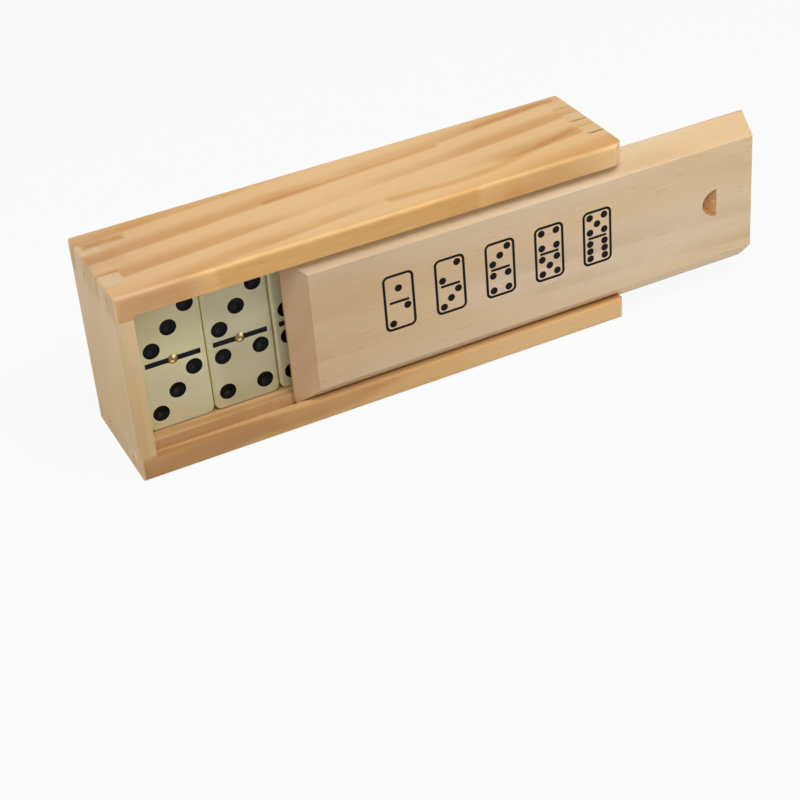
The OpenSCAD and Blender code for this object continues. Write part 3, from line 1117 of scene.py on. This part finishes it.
def brass():
    material, shader = new_material("polished_brass", Metallic=1.0, Roughness=0.2)
    place, normal = place_and_normal(material)
    tarnish = place.vector("SCALE", Scale=0.8).noise(detail=3.0)
    bright = tarnish.ramp(0.3, 0.75).colours(colour(*BRASS_GOLD), colour(*BRASS_AMBER))
    # Two painted highlights, with a painted dark reflection elsewhere on the dome.
    highlighted = leaning(normal, UPPER_TILT, 0.12, 0.30).most(leaning(normal, LOWER_TILT, 0.16, 0.36))
    body = highlighted.colours(colour(*BRASS_DARK_REFLECTION), bright)
    turning = place.vector("SCALE", Scale=6.0).noise(detail=1.0)
    feed(shader, Base_Color=body, Roughness=0.1 + tarnish * 0.14, Normal=bump(turning, 0.01, 0.4))
    return material


pin_brass = brass()
pin_nodes = [node for node in sorted(frame["nodes"]) if "pin" in node]
for node in pin_nodes:
    materials = frame["nodes"][node].data.materials
    materials.clear()
    materials.append(pin_brass)
print("pin nodes:", pin_nodes)

# %% [markdown]
# ## Floor and room
# The box stands on a plain pale floor in a plain pale room. To make both
# show white, the lamps could be turned up, but that would bleach the wood.
# Light Path tells what the camera sees, also by reflection, and there both
# glow almost white. The light that falls on the box isn't changed by that,
# and the floor still takes the box's shadow.

# %% Lay the floor and light the room
FLOOR_GREY = 0.68
FLOOR_GLOW = 0.92
FLOOR_REACH = 4.0
ROOM_TINT = (0.97, 0.98, 1.0)
ROOM_LIGHT = 0.31


def seen_directly(tree):
    """1 for what the camera sees, also by reflection or through something clear."""
    path = Value(tree).node("ShaderNodeLightPath")
    rays = ("Is Camera Ray", "Is Glossy Ray", "Is Transmission Ray")
    straight, glossy, clear = (path.output(ray) for ray in rays)
    return straight.most(glossy).most(clear)


def glowing(shader, share, kind):
    """A shader with a share of plain white light mixed in."""
    white = share.node(kind, None, {"Color": colour(1, 1, 1), "Strength": 1.0})
    sockets = {0: share, 1: Value(share.tree, shader.outputs[0]), 2: white}
    return share.node("ShaderNodeMixShader", None, sockets).socket


def make_floor():
    material, shader = new_material(
        "floor_white", Roughness=0.9, Base_Color=colour(FLOOR_GREY, FLOOR_GREY, FLOOR_GREY)
    )
    tree = material.node_tree
    shown = glowing(shader, seen_directly(tree) * FLOOR_GLOW, "ShaderNodeEmission")
    tree.links.new(shown, tree.nodes["Material Output"].inputs["Surface"])
    mesh = bpy.data.meshes.new("floor")
    corners = [(-1, -1, 0), (1, -1, 0), (1, 1, 0), (-1, 1, 0)]
    mesh.from_pydata([FLOOR_REACH * Vector(corner) for corner in corners], [], [(0, 1, 2, 3)])
    mesh.materials.append(material)
    floor = bpy.data.objects.new("floor", mesh)
    bpy.context.scene.collection.objects.link(floor)


def make_room():
    world = bpy.data.worlds.new("studio")
    world.use_nodes = True
    tree = world.node_tree
    light = tree.nodes["Background"]
    light.inputs["Color"].default_value = colour(*ROOM_TINT)
    light.inputs["Strength"].default_value = ROOM_LIGHT
    shown = glowing(light, seen_directly(tree), "ShaderNodeBackground")
    tree.links.new(shown, tree.nodes["World Output"].inputs["Surface"])
    bpy.context.scene.world = world


make_floor()
make_room()
print("floor:", 2 * FLOOR_REACH, "m wide, room light:", ROOM_LIGHT)

# %% [markdown]
# ## Lamps
# Three large rectangular lamps give soft shadows. The key hangs high in
# front, and lights the top board and the lid's face. A weak one at the right
# lifts the far end, and one at the left keeps the end board from going dull.
# A single small lamp would be simpler, but would draw hard shadows in the
# grooves.

# %% Hang the lamps
LAMP_AIM = Vector((0.03, 0.0, 0.04))
LAMPS = {
    "key": ((0.10, -0.44, 0.96), (0.8, 0.5), 7.0),
    "right_front": ((0.70, -0.50, 0.35), (0.4, 0.5), 0.6),
    "left_fill": ((-0.95, -0.25, 0.45), (0.5, 0.6), 1.85),
}


def soft_box(name, place, size, watts):
    """A rectangular lamp that looks at the box."""
    data = bpy.data.lights.new(name, "AREA")
    data.shape = "RECTANGLE"
    data.size, data.size_y = size
    data.energy = watts
    lamp = bpy.data.objects.new(name, data)
    lamp.location = place
    lamp.rotation_euler = (LAMP_AIM - Vector(place)).to_track_quat("-Z", "Y").to_euler()
    bpy.context.scene.collection.objects.link(lamp)


for name, (place, size, watts) in LAMPS.items():
    soft_box(name, place, size, watts)
bpy.context.scene.view_settings.view_transform = "Standard"
print("lamps, in watts:", {name: watts for name, (_, _, watts) in LAMPS.items()})
